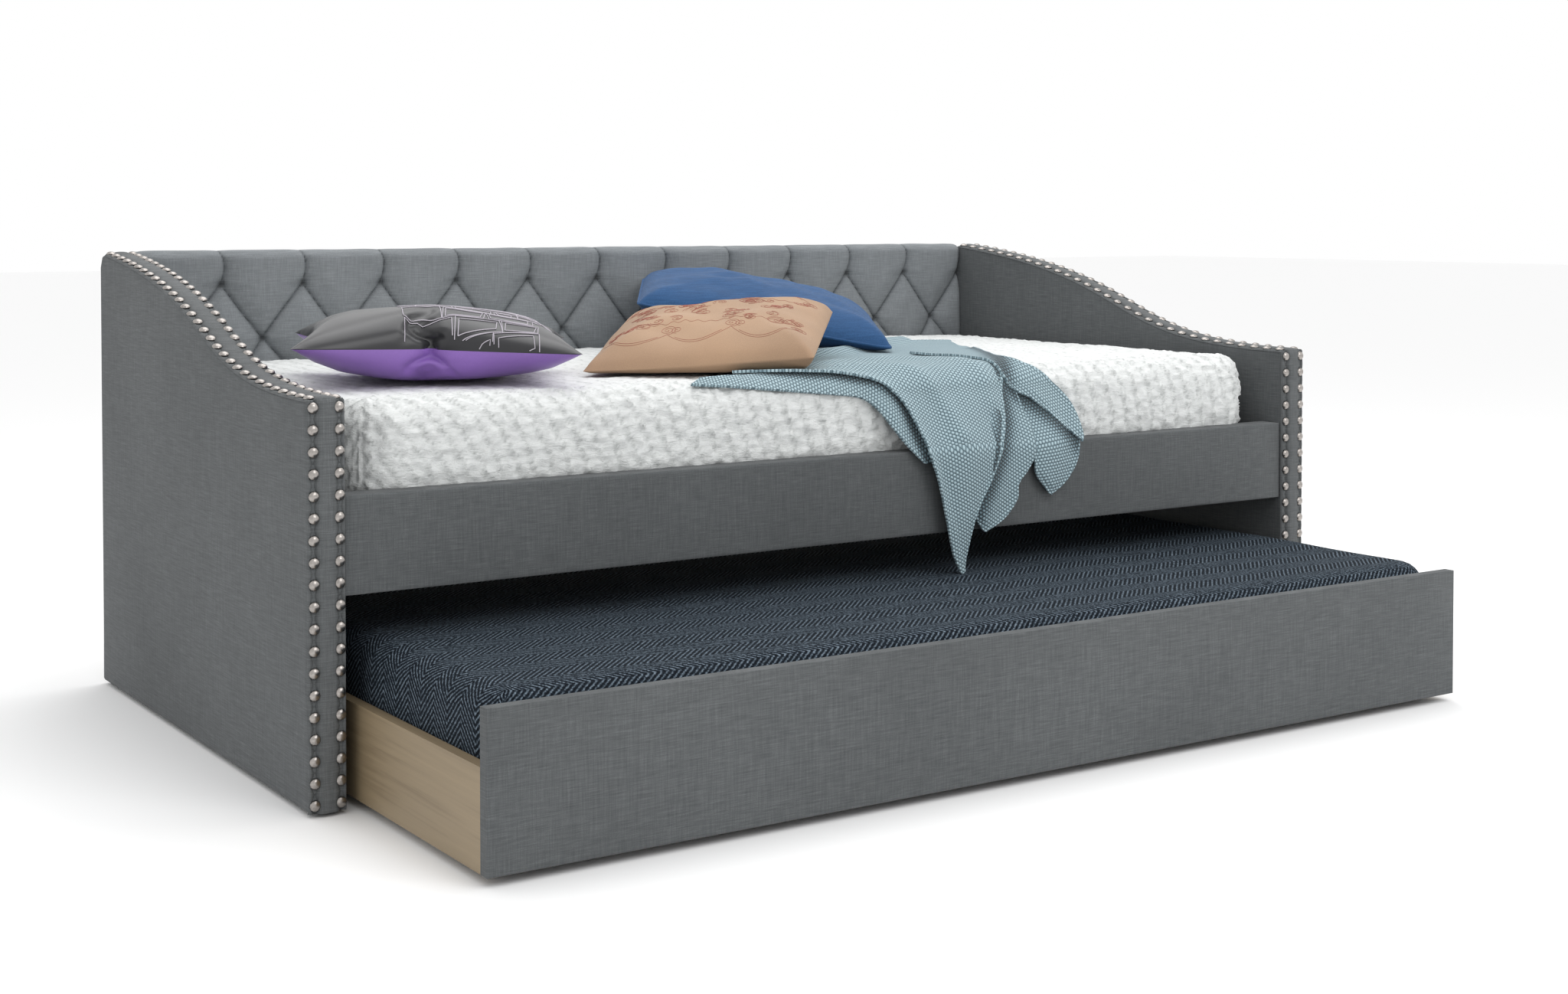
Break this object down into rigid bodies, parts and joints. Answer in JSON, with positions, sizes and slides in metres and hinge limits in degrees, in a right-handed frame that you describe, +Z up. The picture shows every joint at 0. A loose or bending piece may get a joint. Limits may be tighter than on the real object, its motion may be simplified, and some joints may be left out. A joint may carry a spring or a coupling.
{
  "type": "trundle bed",
  "caption": "Upholstered trundle bed: daybed with swept nail-trimmed arms and a tufted back, made up with cushions and a throw, over a wheeled trundle box and mattress drawn part way out.",
  "frame": {"origin": "on the floor under the middle of the bounding box, with the trundle drawn part way out", "axes": "+X along the bed to the sitter's left, +Y from the front to the back of the daybed, +Z up"},
  "size_m": [2.046, 1.476, 0.801],
  "materials": {
    "grey_linen": "woven linen-look upholstery, matt",
    "plywood": "bare panel",
    "pine": "clear matt lacquer over straight grain",
    "pewter_nails": "domed upholstery nails, satin pewter",
    "steel": "dark plated steel",
    "black_plastic": "moulded black plastic",
    "ticking": "plain woven mattress cover",
    "herringbone_ticking": "charcoal and grey herringbone weave",
    "white_cotton": "ruched white cotton",
    "charcoal_satin": "charcoal satin with pale stitched rectangles, violet underside",
    "tan_cotton": "tan cotton with reddish scrolled embroidery",
    "navy_cotton": "plain navy cotton",
    "aqua_knit": "chunky seed-stitch knit"
  },
  "bodies": {
    "daybed": {"left_arm_upholstery": "grey_linen", "left_arm_panel": "plywood", "left_inner_nail_trim": "pewter_nails", "left_outer_nail_trim": "pewter_nails", "left_front_glide": "black_plastic", "left_rear_glide": "black_plastic", "right_arm_upholstery": "grey_linen", "right_arm_panel": "plywood", "right_inner_nail_trim": "pewter_nails", "right_outer_nail_trim": "pewter_nails", "right_front_glide": "black_plastic", "right_rear_glide": "black_plastic", "back_board": "plywood", "back_tufted_pad": "grey_linen", "back_rear_cover": "grey_linen", "front_rail_upholstery": "grey_linen", "front_rail_board": "plywood", "rear_rail_board": "pine", "front_slat_cleat": "pine", "rear_slat_cleat": "pine", "slat_01": "pine", "slat_02": "pine", "slat_03": "pine", "slat_04": "pine", "slat_05": "pine", "slat_06": "pine", "slat_07": "pine", "slat_08": "pine", "slat_09": "pine", "left_front_bracket": "steel", "left_front_bolt": "steel", "left_rear_bracket": "steel", "left_rear_bolt": "steel", "right_front_bracket": "steel", "right_front_bolt": "steel", "right_rear_bracket": "steel", "right_rear_bolt": "steel", "daybed_mattress": "ticking", "ruched_coverlet": "white_cotton", "charcoal_cushion": "charcoal_satin", "tan_cushion": "tan_cotton", "blue_cushion": "navy_cotton", "knitted_throw": "aqua_knit"},
    "trundle": {"trundle_front_upholstery": "grey_linen", "trundle_front_board": "plywood", "trundle_left_side_board": "pine", "trundle_right_side_board": "pine", "trundle_rear_board": "pine", "trundle_front_cleat": "pine", "trundle_rear_cleat": "pine", "trundle_slat_roll": "pine", "trundle_mattress": "herringbone_ticking", "caster_mount_left_front": "steel", "caster_mount_left_rear": "steel", "caster_mount_right_front": "steel", "caster_mount_right_rear": "steel"},
    "wheel_left_front": {"caster_wheel_left_front": "black_plastic"},
    "wheel_left_rear": {"caster_wheel_left_rear": "black_plastic"},
    "wheel_right_front": {"caster_wheel_right_front": "black_plastic"},
    "wheel_right_rear": {"caster_wheel_right_rear": "black_plastic"}
  },
  "joints": [
    {"name": "trundle_slide", "type": "slide", "parent": "daybed", "child": "trundle", "axis": [0, -1, 0], "range_m": [-0.426, 0.574]},
    {"name": "wheel_left_front_spin", "type": "hinge", "parent": "trundle", "child": "wheel_left_front", "pos_m": [-0.912, -0.656, 0.03], "axis": [1, 0, 0], "continuous": true},
    {"name": "wheel_left_rear_spin", "type": "hinge", "parent": "trundle", "child": "wheel_left_rear", "pos_m": [-0.912, 0.182, 0.03], "axis": [1, 0, 0], "continuous": true},
    {"name": "wheel_right_front_spin", "type": "hinge", "parent": "trundle", "child": "wheel_right_front", "pos_m": [0.912, -0.656, 0.03], "axis": [1, 0, 0], "continuous": true},
    {"name": "wheel_right_rear_spin", "type": "hinge", "parent": "trundle", "child": "wheel_right_rear", "pos_m": [0.912, 0.182, 0.03], "axis": [1, 0, 0], "continuous": true}
  ],
  "couplings": [
    {"joint": "wheel_left_front_spin", "follows": "trundle_slide", "rad_per_m": 33.333},
    {"joint": "wheel_left_rear_spin", "follows": "trundle_slide", "rad_per_m": 33.333},
    {"joint": "wheel_right_front_spin", "follows": "trundle_slide", "rad_per_m": 33.333},
    {"joint": "wheel_right_rear_spin", "follows": "trundle_slide", "rad_per_m": 33.333}
  ]
}
